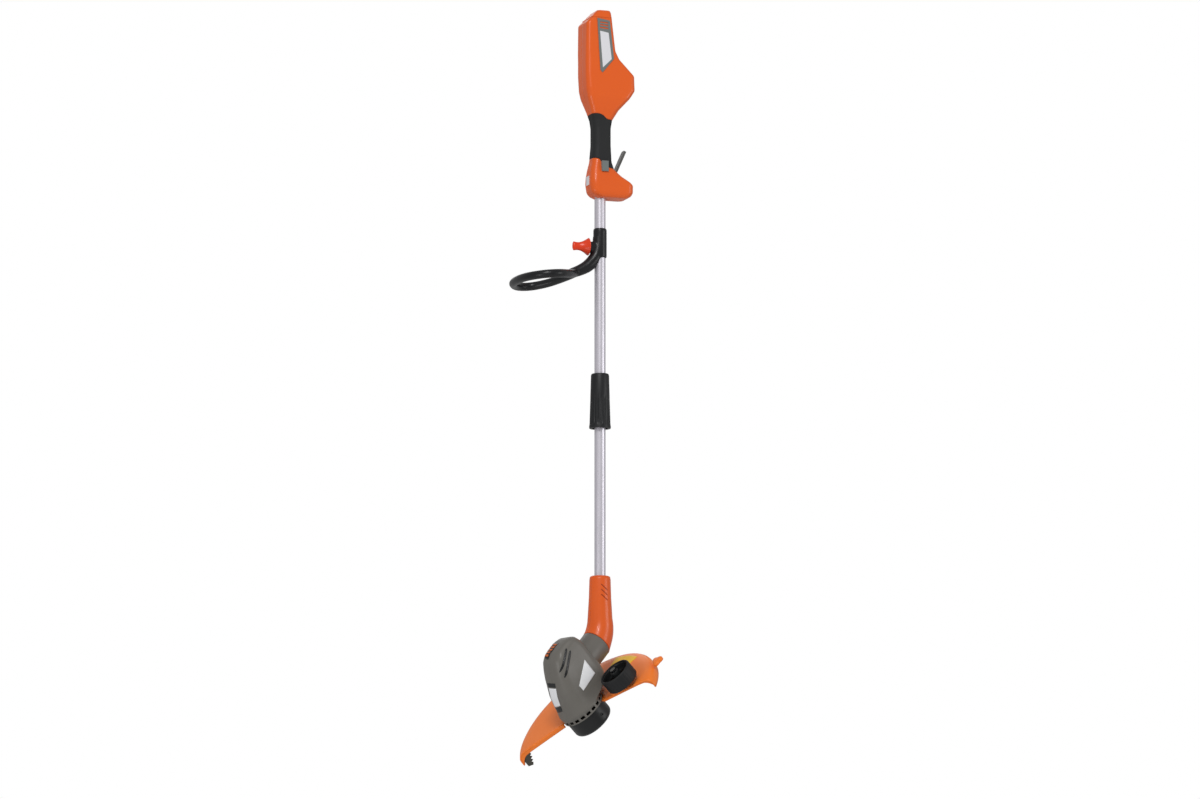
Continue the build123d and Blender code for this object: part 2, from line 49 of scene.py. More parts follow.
def linear(code):
    """An sRGB hex colour as linear values: c / 12.92 when dark, else ((c + 0.055) / 1.055) to the 2.4."""
    parts = [int(code[i:i + 2], 16) / 255 for i in (1, 3, 5)]
    return tuple(c / 12.92 if c < 0.04045 else ((c + 0.055) / 1.055) ** 2.4 for c in parts) + (1.0,)


def add(tree, kind, values=None, links=None, **settings):
    """Adds one node, with its settings, its sockets' values and the (node, output) pairs that feed it."""
    node = tree.nodes.new(kind)
    for key, value in settings.items():
        setattr(node, key, value)
    for key, value in (values or {}).items():
        node.inputs[key].default_value = value
    for key, (source, output) in (links or {}).items():
        tree.links.new(source.outputs[output], node.inputs[key])
    return node


def mesh_piece(name, points, faces, smooth=True):
    """A new mesh object from an array of points in metres and a list or array of faces."""
    mesh = bpy.data.meshes.new(name)
    mesh.from_pydata(np.asarray(points, float).reshape(-1, 3).tolist(), [], [list(f) for f in faces])
    mesh.polygons.foreach_set("use_smooth", [smooth] * len(mesh.polygons))
    mesh.update()
    piece = bpy.data.objects.new(name, mesh)
    bpy.context.scene.collection.objects.link(piece)
    return piece


MM = 0.001
FLOOR_Z = -2.40
floor_corners = [(-6, -6, FLOOR_Z), (6, -6, FLOOR_Z), (6, 9, FLOOR_Z), (-6, 9, FLOOR_Z)]
floor = mesh_piece("floor", floor_corners, [(0, 1, 2, 3)])
paint = bpy.data.materials.new("pale_studio_floor")
paint.use_nodes = True
tree = paint.node_tree
shader = tree.nodes["Principled BSDF"]
shader.inputs["Base Color"].default_value = linear("#F6F6F6")
shader.inputs["Roughness"].default_value = 0.9
floor.data.materials.append(paint)

world = bpy.data.worlds.new("white_surround")
bpy.context.scene.world = world
world.use_nodes = True
tree = world.node_tree
tree.nodes.clear()
ray = add(tree, "ShaderNodeLightPath")
seen = add(tree, "ShaderNodeBackground", {"Color": (1, 1, 1, 1), "Strength": 1.0})
lit = add(tree, "ShaderNodeBackground", {"Color": (1, 1, 1, 1), "Strength": 0.42})
both = add(tree, "ShaderNodeMixShader", links={0: (ray, "Is Camera Ray"), 1: (lit, 0), 2: (seen, 0)})
add(tree, "ShaderNodeOutputWorld", links={"Surface": (both, 0)})
bpy.context.scene.view_settings.view_transform = "Standard"

CAMERA_YAW = math.radians(20)
CAMERA_RISE = math.radians(9)
CAMERA_FAR = 12.0
aim = np.array([0.0, 0.0, -0.165])
look = np.array([math.sin(CAMERA_YAW) * math.cos(CAMERA_RISE), math.cos(CAMERA_YAW) * math.cos(CAMERA_RISE),
                 math.sin(CAMERA_RISE)])
lens = bpy.data.cameras.new("view")
lens.lens = 182.3
lens.sensor_width = 36.0
camera = bpy.data.objects.new("view", lens)
camera.location = aim - CAMERA_FAR * look
camera.rotation_euler = (math.pi / 2 + CAMERA_RISE, 0, -CAMERA_YAW)
bpy.context.scene.collection.objects.link(camera)
bpy.context.scene.camera = camera


def lamp(name, place, target, power, size):
    """A square soft lamp at a place, turned to a target; both in metres."""
    light = bpy.data.lights.new(name, "AREA")
    light.energy = power
    light.size = size
    lamp_object = bpy.data.objects.new(name, light)
    lamp_object.location = place
    direction = (np.array(target) - np.array(place)).tolist()
    lamp_object.rotation_euler = Vector(direction).to_track_quat("-Z", "Y").to_euler()
    bpy.context.scene.collection.objects.link(lamp_object)


lamp("key", (-1.6, -3.0, 2.2), (0, 0, 0), 74.0, 1.1)
lamp("fill", (2.8, -2.4, 0.2), (0, 0, -0.1), 30.0, 1.6)
lamp("low_front", (-2.6, -1.2, -1.0), (0, 0, -0.6), 14.0, 0.8)
lamp("back", (0.5, 3.0, 1.6), (0, 0, 0.1), 6.0, 1.5)

# Upper and lower tube: drawn aluminium, 22 mm, clear anodised. Fine lines run along the tube and
# the anodising leaves it satin, with a slightly mauve silver.


def finish(name, colour, roughness, metallic=0.0, ior=1.5, shade=None, grain_mm=0.0, grain_depth=0.0,
           streak=1.0, coat=0.0, patch_mm=40.0, wear=0.04):
    """A moulded or metal finish. Colour: the base and its shade mixed by a soft noise patch_mm wide.
    Roughness: the base value plus wear times that noise. Bump: noise with grains grain_mm wide,
    stretched streak times along Z."""
    material = bpy.data.materials.new(name)
    material.use_nodes = True
    tree = material.node_tree
    shader = tree.nodes["Principled BSDF"]
    shader.inputs["Metallic"].default_value = metallic
    shader.inputs["Coat Weight"].default_value = coat
    if metallic == 0.0:
        shader.inputs["IOR"].default_value = ior
        shader.inputs["Specular IOR Level"].default_value = 0.36
    space = add(tree, "ShaderNodeTexCoord")
    soft = add(tree, "ShaderNodeTexNoise", {"Scale": 1000.0 / patch_mm, "Detail": 3.0, "Roughness": 0.55},
               {"Vector": (space, "Object")})
    blend = add(tree, "ShaderNodeMix", {6: linear(colour), 7: linear(shade or colour)}, {0: (soft, "Fac")},
                data_type="RGBA")
    tree.links.new(blend.outputs[2], shader.inputs["Base Color"])
    spread = {"From Min": 0.3, "From Max": 0.7, "To Min": max(roughness - wear, 0.02),
              "To Max": roughness + wear}
    rough = add(tree, "ShaderNodeMapRange", spread, {"Value": (soft, "Fac")})
    tree.links.new(rough.outputs["Result"], shader.inputs["Roughness"])
    if grain_depth > 0:
        stretch = add(tree, "ShaderNodeMapping", {"Scale": (1.0, 1.0, 1.0 / streak)},
                      {"Vector": (space, "Object")})
        grit = add(tree, "ShaderNodeTexNoise", {"Scale": 1000.0 / grain_mm, "Detail": 2.0},
                   {"Vector": (stretch, "Vector")})
        bump = add(tree, "ShaderNodeBump", {"Strength": 0.6, "Distance": grain_depth * MM},
                   {"Height": (grit, "Fac")})
        tree.links.new(bump.outputs["Normal"], shader.inputs["Normal"])
    return material


def dress(material, *names):
    """Gives CAD nodes a finish in place of the plain one they arrive with."""
    for name in names:
        slots = nodes[name].data.materials
        slots.clear()
        slots.append(material)


anodised = finish("anodised_aluminium", "#D3D0D8", 0.38, metallic=0.6, shade="#CBC7D0", grain_mm=5.0,
                  grain_depth=0.003, streak=40.0, patch_mm=90.0)
dress(anodised, "upper_tube", "lower_tube")

# The handle housing: two glossy orange ABS mouldings, left and right, that meet on a fine seam in
# the tool's middle plane. The grip between its upper and lower bodies is sunk for the rubber sleeve.

orange_abs = finish("glossy_orange_abs", "#E0601F", 0.33, ior=1.46, shade="#D8571A", coat=0.05,
                    grain_mm=1.2, grain_depth=0.012, patch_mm=60.0)
# Height, front edge, rear edge, half width and corner radius up the housing, in mm.
HOUSING = np.array([
    (239.0, -6.0, 50.0, 19.5, 11.0), (242.0, -16.0, 59.0, 23.5, 12.0), (250.0, -23.0, 64.0, 25.6, 13.0),
    (266.0, -25.6, 64.2, 26.0, 13.0), (272.0, -25.6, 58.0, 25.8, 13.0), (282.0, -25.2, 41.0, 24.6, 13.0),
    (296.0, -23.4, 25.6, 21.8, 12.5), (312.0, -19.9, 20.9, 19.0, 12.0), (345.0, -17.2, 19.5, 18.0, 12.0),
    (380.0, -17.2, 19.5, 18.0, 12.0), (396.0, -19.0, 22.0, 19.6, 12.0), (416.0, -24.6, 33.5, 25.6, 12.5),
    (440.0, -33.4, 55.4, 30.2, 12.0), (456.0, -36.8, 65.4, 31.0, 11.0), (486.0, -38.4, 64.0, 31.0, 10.0),
    (518.0, -38.5, 32.5, 31.0, 10.0), (534.0, -38.5, 24.0, 31.0, 9.0), (590.0, -37.5, 17.0, 31.0, 8.0),
    (600.0, -28.0, 16.2, 30.6, 8.0), (613.0, -16.5, 15.2, 27.4, 8.0), (616.0, -13.0, 13.0, 25.0, 7.0),
])
fine = np.arange(HOUSING[0, 0], HOUSING[-1, 0] + 0.01, 0.5)


def eased(table, fine, width):
    """A table's columns at the fine steps, joined by straight runs and then averaged over width steps."""
    columns = [np.interp(fine, table[:, 0], table[:, k]) for k in range(1, table.shape[1])]
    half = width // 2
    kernel = np.ones(2 * half + 1) / (2 * half + 1)
    return [np.convolve(np.pad(c, half, mode="edge"), kernel, mode="valid") for c in columns]


housing_fine = eased(HOUSING, fine, 10)


def half_ring(side, flat=9, corner=9):
    """Columns of half a rounded rectangle, from the front seam round one side to the rear seam.
    Each column is (share along x, share along y, cosine, sine) of its place on flats and corners."""
    t = np.linspace(0, 1, flat)
    q = np.linspace(0, np.pi / 2, corner)
    rows = [np.stack([-np.ones(flat), -t, -np.ones(flat), np.zeros(flat)], 1)]
    rows.append(np.stack([-np.ones(corner), -np.ones(corner), -np.cos(q), -np.sin(q)], 1)[1:])
    rows.append(np.stack([2 * t - 1, -np.ones(flat), np.zeros(flat), -np.ones(flat)], 1)[1:])
    rows.append(np.stack([np.ones(corner), -np.ones(corner), np.sin(q), -np.cos(q)], 1)[1:])
    rows.append(np.stack([np.ones(flat), t - 1, np.ones(flat), np.zeros(flat)], 1)[1:])
    ring = np.concatenate(rows)
    if side > 0:
        ring = ring[::-1] * np.array([1, -1, 1, -1])
    return ring


def rounded(z, low, high, half, corner, ring, inset=0.0, seam=0.12):
    """Points of a rounded rectangle at each height: the core's corner share plus the corner's arc."""
    corner = np.maximum(corner - inset, 1.0)
    reach = (high - low) / 2 - inset - corner
    wide = half - inset - corner
    x = (low + high) / 2 + reach * ring[:, 0] + corner * ring[:, 2]
    y = wide * ring[:, 1] + corner * ring[:, 3]
    side = np.sign((ring[:, 1] + ring[:, 3]).sum())
    y = np.where(np.abs(y) < seam, side * seam, y)
    return np.stack([x, y, z + 0 * x], -1)


def grid_quads(rows, columns, closed=False):
    """Quads over a grid whose rows climb and whose columns run anticlockwise."""
    i, j = np.meshgrid(np.arange(rows - 1), np.arange(columns if closed else columns - 1), indexing="ij")
    i, j = i.ravel(), j.ravel()
    k = (j + 1) % columns
    return np.stack([i * columns + j, i * columns + k, (i + 1) * columns + k, (i + 1) * columns + j], 1)


def wall(piece, thickness, offset=-1.0):
    """Gives an open skin its wall in metres: inwards at an offset of -1, to both sides at 0."""
    solid = piece.modifiers.new("wall", "SOLIDIFY")
    solid.thickness = thickness
    solid.offset = offset
    return piece


def seal(piece):
    """Fills the piece's open ends and turns its faces outwards."""
    bm = bmesh.new()
    bm.from_mesh(piece.data)
    bmesh.ops.holes_fill(bm, edges=bm.edges[:], sides=0)
    bmesh.ops.recalc_face_normals(bm, faces=bm.faces[:])
    bm.to_mesh(piece.data)
    bm.free()


def lerp_rows(z_rows, table, steps):
    """The eased table's values at each height of an array."""
    return [np.interp(z_rows, steps, column) for column in table]


def grip_edges(ring):
    """The grip's upper and lower edge round the handle: an S that falls from the front to the rear."""
    along = ring[:, 0] * 0.62 + ring[:, 2] * 0.38
    blend = 0.5 + 0.5 * np.tanh(2.2 * along)
    upper = 407.5 - 11.5 * blend
    fall = 0.5 + 0.5 * np.tanh(2.6 * (along + 0.35))
    lower = 318.0 - 17.0 * fall - 5.5 * np.clip(along, 0, 1)
    return upper, lower


def housing_rows(ring, levels, inset=0.0):
    """Heights (an array of rows by columns) turned into points on the housing's skin."""
    low, high, half, corner = lerp_rows(levels, housing_fine, fine)
    depth = np.broadcast_to(inset, levels.shape)
    return rounded(levels, low, high, half, corner, ring, depth)


def ramp(low, high, count):
    """Rows between two edges given per column, as a straight blend."""
    t = np.linspace(0, 1, count)[:, None]
    return low[None, :] * (1 - t) + high[None, :] * t


SPLIT_Z = 600.0
TUBE_HOLE = 11.25
LOW_ROWS, SUNK_ROWS, HIGH_ROWS = 40, 24, 110
GRIP_DEEP = 2.4
for side, name in ((-1, "handle_shell_left"), (1, "handle_shell_right")):
    ring = half_ring(side)
    upper, lower = grip_edges(ring)
    foot = np.full(len(ring), HOUSING[0, 0])
    split = np.full(len(ring), SPLIT_Z)
    levels = np.concatenate([
        ramp(foot, lower, LOW_ROWS), ramp(lower, lower + 0.6, 2)[1:],
        ramp(lower + 0.8, upper - 0.8, SUNK_ROWS), ramp(upper - 0.6, upper, 2)[:1],
        ramp(upper, split, HIGH_ROWS)])
    inset = np.concatenate([np.zeros(LOW_ROWS), [GRIP_DEEP - 0.2], np.full(SUNK_ROWS, GRIP_DEEP),
                            [GRIP_DEEP - 0.2], np.zeros(HIGH_ROWS)])[:, None]
    skin_points = housing_rows(ring, levels, inset)
    angle = np.arctan2(skin_points[0, :, 1], skin_points[0, :, 0])
    bore = np.stack([TUBE_HOLE * np.cos(angle), TUBE_HOLE * np.sin(angle), np.full(len(ring), 238.0)], -1)
    bottom = [bore * (1 - t) + skin_points[0] * t for t in (0.0, 0.35, 0.7, 0.93)]
    points = np.concatenate([np.stack(bottom), skin_points])
    shell = wall(mesh_piece(name.replace("handle_shell", "housing"), points * MM,
                            grid_quads(points.shape[0], len(ring))), 0.0024)
    shell.data.materials.append(orange_abs)
    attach(shell, "handle")
    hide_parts(name)

# The battery pack: its case fills the bay and its head forms the top of the housing, in the same
# glossy orange. A black latch button is let into the head; the cells are steel cans in a blue wrap.

ring = np.concatenate([half_ring(-1)[:-1], half_ring(1)[:-1]])
levels = np.repeat(np.linspace(SPLIT_Z + 0.4, 615.6, 16)[:, None], len(ring), 1)
low, high, half, corner = lerp_rows(levels, housing_fine, fine)
head_points = rounded(levels, low, high, half, corner, ring, 0.0, 0.0)
top = head_points[-1]
CROWN = 0.96
BODY_X = -8.0
lid = [top * np.array([s, s, 1]) + np.array([0, 0, CROWN * (1 - s) ** 0.5])
       for s in (0.93, 0.8, 0.55, 0.25, 0.02)]
base = head_points[0]
floor_rows = [base * np.array([s, s, 1]) + np.array([BODY_X * (1 - s), 0, 0]) for s in (0.02, 0.5, 0.95)]
points = np.concatenate([np.stack(floor_rows), head_points, np.stack(lid)])
pack_head = mesh_piece("pack_head", points * MM, grid_quads(points.shape[0], len(ring), True))
seal(pack_head)
pack_head.data.materials.append(orange_abs)
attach(pack_head, "battery")
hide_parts("battery_case")
BODY_LOW, BODY_HIGH, BODY_HALF, BODY_CORNER = -29.5, 11.5, 27.0, 6.0
body_z = np.array([458.0, 459.0, 461.0, 500.0, 560.0, 600.2])[:, None] + 0 * ring[:, 0]
body_in = np.array([2.5, 0.8, 0.0, 0.0, 0.0, 0.0])[:, None]
body_points = rounded(body_z, BODY_LOW, BODY_HIGH, BODY_HALF, BODY_CORNER, ring, body_in, 0.0)
centre = np.array([(BODY_LOW + BODY_HIGH) / 2, 0.0, 0.0])
base = centre + (body_points[0] - centre) * np.array([0.02, 0.02, 1.0])
cap = centre + (body_points[-1] - centre) * np.array([0.02, 0.02, 1.0])
body_points = np.concatenate([base[None], body_points, cap[None]])
pack_body = mesh_piece("pack_body", body_points * MM, grid_quads(len(body_points), len(ring), True))
pack_body.data.materials.append(orange_abs)
pack_body.data.set_sharp_from_angle(angle=math.radians(40))
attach(pack_body, "battery")
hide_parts("battery_case")

matt_black = finish("matt_black_abs", "#121314", 0.5, ior=1.5, shade="#18191B", grain_mm=0.8,
                    grain_depth=0.03)
dress(matt_black, "battery_latch", "battery_terminals", "coupling_bush", "coupling_collet", "motor_end_cap",
      "swivel_collar", "trigger_switch", "line_spool", "line_eyelets")
cell_wrap = finish("blue_cell_wrap", "#2D6FA8", 0.3, shade="#285F92", grain_mm=3.0, grain_depth=0.01)
dress(cell_wrap, "battery_cells")
board = finish("green_circuit_board", "#1E7A3C", 0.35, shade="#145A2B", patch_mm=3.0, grain_mm=1.0,
               grain_depth=0.05)
dress(board, "control_board")

# The grip: a soft black rubber sleeve moulded over the handle, flush with the housing, its ends cut
# in an S. Its spark-eroded mould leaves a fine matt grain.

grip_rubber = finish("black_grip_rubber", "#1B1C1D", 0.66, ior=1.45, shade="#222324", grain_mm=1.4,
                     grain_depth=0.10, patch_mm=25.0)
ring = np.concatenate([half_ring(-1)[:-1], half_ring(1)[:-1]])
upper, lower = grip_edges(ring)
GRIP_ROWS = 60
GRIP_GAP = 0.15
levels = ramp(lower + GRIP_GAP, upper - GRIP_GAP, GRIP_ROWS)
edge = np.zeros(GRIP_ROWS)
edge[0] = edge[-1] = 0.9
edge[1] = edge[-2] = 0.25
low, high, half, corner = lerp_rows(levels, housing_fine, fine)
points = rounded(levels, low, high, half, corner, ring, edge[:, None] - GRIP_GAP, 0.0)
grip = wall(mesh_piece("grip", points * MM, grid_quads(GRIP_ROWS, len(ring), True)), 0.0018)
grip.data.materials.append(grip_rubber)
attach(grip, "handle")
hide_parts("grip_sleeve")

# Side frames: satin grey ABS clipped into each side of the housing, with three air slots over the
# red inner wall, and a brushed foil plate below. The front badge is the same foil.

grey_abs = finish("satin_grey_abs", "#6F7573", 0.42, ior=1.54, shade="#666B6A", grain_mm=0.9,
                  grain_depth=0.03)
dress(grey_abs, "vent_panels", "lock_button")
foil = finish("brushed_foil", "#E6E6EA", 0.34, metallic=0.25, shade="#DCDCE1",
              grain_mm=0.8, grain_depth=0.04, streak=25.0, patch_mm=14.0)
dress(foil, "foil_plates", "front_badge")

# Trigger lever: a thin dark grey nylon blade on a steel pin; the lock-off button is satin grey.

dark_nylon = finish("dark_grey_nylon", "#565552", 0.38, ior=1.53, shade="#4A4A48", grain_mm=1.0,
                    grain_depth=0.03)
dress(dark_nylon, "trigger_lever")

# Screws, pins, springs and the spigot: zinc-plated steel, with the soft mottling of the plating.

zinc = finish("zinc_plated_steel", "#B9BBBD", 0.3, metallic=1.0, shade="#A5A8AB", patch_mm=4.0,
              grain_mm=0.6, grain_depth=0.02)
dress(zinc, "handle_screws", "trigger_pin", "trigger_spring", "lock_spring", "coupling_spigot", "clamp_bolt",
      "neck_screws", "guard_screws", "cutter_screws", "motor_can", "motor_bearings", "motor_shaft",
      "spool_spring")
polished = finish("polished_axle_steel", "#C9CBCE", 0.16, metallic=1.0, shade="#B6B9BD", patch_mm=6.0,
                  grain_mm=0.5, grain_depth=0.01)
dress(polished, "wheel_axle", "axle_cap")
bare = finish("cast_aluminium", "#B4B6B8", 0.45, metallic=1.0, shade="#A0A2A5", patch_mm=8.0, grain_mm=1.0,
              grain_depth=0.06)
dress(bare, "heat_sink", "motor_plate")
brass = finish("turned_brass", "#C7A24A", 0.28, metallic=1.0, shade="#B38E3C", patch_mm=5.0, grain_mm=0.5,
               grain_depth=0.02)
dress(brass, "knob_nut", "drive_hub")
copper = finish("enamelled_copper", "#B4633A", 0.35, metallic=0.9, shade="#9A4F2C", patch_mm=2.0,
                grain_mm=0.8, grain_depth=0.1)
dress(copper, "armature")
ferrite = finish("grey_ferrite", "#3C3D40", 0.6, shade="#47484B", patch_mm=3.0, grain_mm=0.6,
                 grain_depth=0.05)
dress(ferrite, "motor_magnets")
cable = finish("black_cable_pvc", "#1B1C1E", 0.45, shade="#222325", patch_mm=10.0, grain_mm=1.0,
               grain_depth=0.02)
dress(cable, "power_lead", "motor_lead")

# Loop handle: one black nylon moulding, a collar round the shaft whose stem swells and splits into a
# closed bow for the front hand. It is smooth and half glossy.

satin_black = finish("satin_black_nylon", "#121315", 0.32, ior=1.48, shade="#17181A", grain_mm=1.2,
                     grain_depth=0.02, patch_mm=30.0)


def smooth_path(corners, count, closed=False):
    """A path through corner points by Catmull-Rom: each run blends the cubic of its four neighbours."""
    corners = np.asarray(corners, float)
    n = len(corners)
    runs = n if closed else n - 1
    t = np.linspace(0, runs, count, endpoint=not closed)
    k = np.minimum(t.astype(int), runs - 1)
    s = (t - k)[:, None]
    pick = (lambda i: corners[i % n]) if closed else (lambda i: corners[np.clip(i, 0, n - 1)])
    a, b, c, d = pick(k - 1), pick(k), pick(k + 1), pick(k + 2)
    square = (2 * a - 5 * b + 4 * c - d) * s ** 2
    cube = (3 * b - a - 3 * c + d) * s ** 3
    return 0.5 * (2 * b + (c - a) * s + square + cube)


def tube_points(path, radius, around=28, up=(0.0, 0.0, 1.0), closed=False, flat=1.0):
    """A circle carried along a path: centre + radius (cos a side + flat sin a over), with side square to
    the path and to up, and over square to both."""
    step = np.roll(path, -1, 0) - np.roll(path, 1, 0)
    if not closed:
        step[0], step[-1] = path[1] - path[0], path[-1] - path[-2]
    ahead = step / np.linalg.norm(step, axis=1)[:, None]
    side = np.cross(ahead, np.array(up))
    side /= np.linalg.norm(side, axis=1)[:, None]
    over = np.cross(side, ahead)
    a = np.linspace(0, 2 * np.pi, around, endpoint=False)[None, :, None]
    size = np.broadcast_to(radius, (len(path),))[:, None, None]
    return path[:, None] + size * (np.cos(a) * side[:, None] + flat * np.sin(a) * over[:, None])


def closed_piece(name, blocks, smooth=True):
    """One mesh of several grids, (points, closed along) each, with open ends filled and faces outwards."""
    points, faces, offset = [], [], 0
    for grid, looped in blocks:
        rows, columns = grid.shape[:2]
        quads = grid_quads(rows, columns, True)
        if looped:
            first = np.arange(columns)
            after = (first + 1) % columns
            last = (rows - 1) * columns
            quads = np.concatenate([quads, np.stack([last + first, last + after, after, first], 1)])
        points.append(grid.reshape(-1, 3))
        faces.append(quads + offset)
        offset += rows * columns
    piece = mesh_piece(name, np.concatenate(points) * MM, np.concatenate(faces), smooth)
    seal(piece)
    piece.data.polygons.foreach_set("use_smooth", [smooth] * len(piece.data.polygons))
    return piece


BOW_R = 8.5
bow_half = [(-66, 24, 80), (-88, 56, 73), (-116, 79, 68), (-146, 74, 65), (-167, 42, 64)]
bow_corners = [(-56, 0, 84)] + [(x, -y, z) for x, y, z in bow_half] + [(-173, 0, 64)] + bow_half[::-1]
bow = smooth_path(bow_corners, 180, closed=True)
KNOB_Z = 140.0
stem_corners = [(-2, 0, 160), (-3, 0, KNOB_Z), (-9, 0, 121), (-24, 0, 103), (-42, 0, 92), (-62, 0, 84)]
stem_path = smooth_path(stem_corners, 40)
stem_size = np.interp(np.linspace(0, 1, 40), [0, 0.25, 0.6, 1.0], [12.5, 13.2, 12.6, 9.6])
collar_z = np.array([118.5, 118.5, 120.5, 174.0, 177.0, 178.0, 178.0])
collar_r = np.array([10.0, 12.6, 13.4, 13.4, 12.8, 12.0, 10.0])
a = np.linspace(0, 2 * np.pi, 48, endpoint=False)
collar = np.stack([collar_r[:, None] * np.cos(a), collar_r[:, None] * np.sin(a),
                   np.repeat(collar_z[:, None], 48, 1)], -1)
boss_x = np.array([-5.0, -24.0, -24.8, -24.8])
boss_r = np.array([10.8, 10.8, 10.0, 8.0])
boss = np.stack([np.repeat(boss_x[:, None], 48, 1), boss_r[:, None] * np.cos(a),
                 KNOB_Z + boss_r[:, None] * np.sin(a)], -1)
loop = closed_piece("bow_handle", [(tube_points(bow, BOW_R, up=(0.0, 0.0, 1.0), closed=True), True),
                                   (tube_points(stem_path, stem_size, up=(0.0, 1.0, 0.0)), False),
                                   (collar, False), (boss, False)])
fuse = loop.modifiers.new("one_moulding", "REMESH")
fuse.mode = "VOXEL"
fuse.voxel_size = 0.0012
relax = loop.modifiers.new("soft_joins", "SMOOTH")
relax.factor = 0.5
relax.iterations = 14
loop.data.materials.append(satin_black)
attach(loop, "loop")
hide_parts("loop_handle")

# Wing knob: red-orange nylon moulded over a brass nut, a round foot that narrows to a thin wing.

knob_nylon = finish("red_orange_nylon", "#E2401B", 0.3, ior=1.53, shade="#D43712", grain_mm=1.0,
                    grain_depth=0.02)
t = np.linspace(0, 1, 40)
reach_x = -25.3 - 33.0 * t
flare = 2.5 * np.clip((t - 0.7) / 0.3, 0, 1) ** 2
wing_high = 17.5 - 9.5 * np.sin(np.clip(t * 1.5, 0, 1) * np.pi / 2) + flare
wing_wide = 4.0 + 13.5 * (1 - np.clip(t * 1.25, 0, 1)) ** 2.2
tip = np.sqrt(np.clip(1 - np.clip((t - 0.88) / 0.12, 0, 1) ** 2, 0.0004, 1))
a = np.linspace(0, 2 * np.pi, 48, endpoint=False)
knob_points = np.stack([np.repeat(reach_x[:, None], 48, 1), (wing_wide * tip)[:, None] * np.cos(a),
                        KNOB_Z + (wing_high * tip)[:, None] * np.sin(a)], -1)
knob = closed_piece("wing_knob_cover", [(knob_points, False)])
knob.data.materials.append(knob_nylon)
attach(knob, "knob")
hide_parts("wing_knob")

# Coupling sleeve: a black nylon nut, plain above and fluted below, with a small lip at its lower end.

turns = 192
a = np.linspace(0, 2 * np.pi, turns, endpoint=False)
sleeve_z = np.array([
    -120.0, -120.0, -114.2, -114.0, -115.0, -118.0, -150.0, -162.0, -166.0, -200.0, -212.0, -215.0,
    -219.0, -222.4, -223.0, -223.0, -222.0,
])
sleeve_r = np.array([
    14.9, 11.6, 11.6, 15.8, 17.2, 18.0, 18.9, 19.2, 19.3, 20.4, 20.7, 20.8,
    21.4, 21.4, 20.8, 15.4, 15.2,
])
FLUTES, FLUTE_DEPTH = 18, 1.1
fluted = np.array([0, 0, 0, 0, 0, 0, 0, 0, 1, 1, 1, 0, 0, 0, 0, 0, 0.0])[:, None]
cut = FLUTE_DEPTH * np.clip(np.cos(FLUTES * a), -0.2, 1.0)
reach = sleeve_r[:, None] - fluted * (cut + 0.2)
sleeve_points = np.stack([reach * np.cos(a), reach * np.sin(a), np.repeat(sleeve_z[:, None], turns, 1)], -1)
sleeve = closed_piece("fluted_sleeve", [(sleeve_points[::-1], True)])
sleeve_nylon = finish("ribbed_black_nylon", "#191A1C", 0.44, ior=1.48, shade="#131416", grain_mm=0.9,
                      grain_depth=0.04, patch_mm=20.0)
sleeve.data.materials.append(sleeve_nylon)
sleeve.data.set_sharp_from_angle(angle=math.radians(38))
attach(sleeve, "sleeve")
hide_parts("coupling_sleeve")

# The head's own axes, taken from its joints: along the swivel to the neck, across, and up the spool's
# axis. Everything below the swivel is laid out in them, in mm above the bottom of the spool cap.

joints = {j["name"]: j for j in frame["joints"]}
along = np.array(joints["head_swivel"]["axis"])
rise = -np.array(joints["spool_spin"]["axis"])
across = np.cross(rise, along)
spool_point = np.array(joints["spool_spin"]["pos_m"])
SPOOL_DROP = 100.0


def in_head(points):
    """Points given as (along, across, height over the cap's bottom) in mm, in the row's frame in metres."""
    points = np.asarray(points, float) - np.array([0, 0, SPOOL_DROP])
    return spool_point + (points[..., :1] * along + points[..., 1:2] * across + points[..., 2:] * rise) * MM


def head_piece(name, points, faces, body, material, smooth=True, sharp=None):
    """A mesh laid out in the head's axes, that rides on a body of the head."""
    piece = mesh_piece(name, in_head(points), faces, smooth)
    piece.data.materials.append(material)
    if sharp:
        piece.data.set_sharp_from_angle(angle=math.radians(sharp))
    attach(piece, body)
    return piece


# Neck: two glossy orange mouldings that clamp the lower tube and turn the elbow to the swivel seam.
# The left one has three slanted grooves near its top, laid in as thin darker orange lines of painted shade
# that stand for the shadow inside each groove.

yaw = math.atan2(along[1], along[0])
neck_turn = np.array([[math.cos(yaw), -math.sin(yaw), 0], [math.sin(yaw), math.cos(yaw), 0], [0, 0, 1]])
bend = np.array([0.0, 0.0, -640.0])
tilt_along = np.array([math.hypot(along[0], along[1]), 0.0, along[2]])
seam_centre = bend - 14.0 * tilt_along
seam_over = np.array([-tilt_along[2], 0.0, tilt_along[0]])
SEAM_R = 30.3
ELBOW_BULGE = 4.0
NECK = np.array([
    (-517.5, 12.0), (-517.0, 17.5), (-518.5, 20.0), (-524.0, 20.9), (-560.0, 22.0), (-600.0, 24.4),
])


def neck_rows(angle):
    """Circles down the neck, then circles that tip over by an eased share until they lie on the seam."""
    rows = []
    for z, radius in NECK:
        rows.append(np.stack([radius * np.cos(angle), radius * np.sin(angle), np.full(angle.shape, z)], -1))
    last = NECK[-1]
    for t in np.linspace(0, 1, 22)[1:]:
        ease = t * t * (3 - 2 * t)
        x_axis = np.array([1.0, 0, 0]) * (1 - ease) + (-seam_over) * ease
        x_axis /= np.linalg.norm(x_axis)
        radius = last[1] * (1 - t) + SEAM_R * t
        bulge = np.array([ELBOW_BULGE * math.sin(math.pi * t), 0, 0])
        centre = np.array([0, 0, last[0]]) * (1 - t) + seam_centre * t + bulge
        circle = np.cos(angle)[:, None] * x_axis + np.sin(angle)[:, None] * np.array([0, 1.0, 0])
        rows.append(centre + radius * circle)
    return np.stack(rows)[::-1]


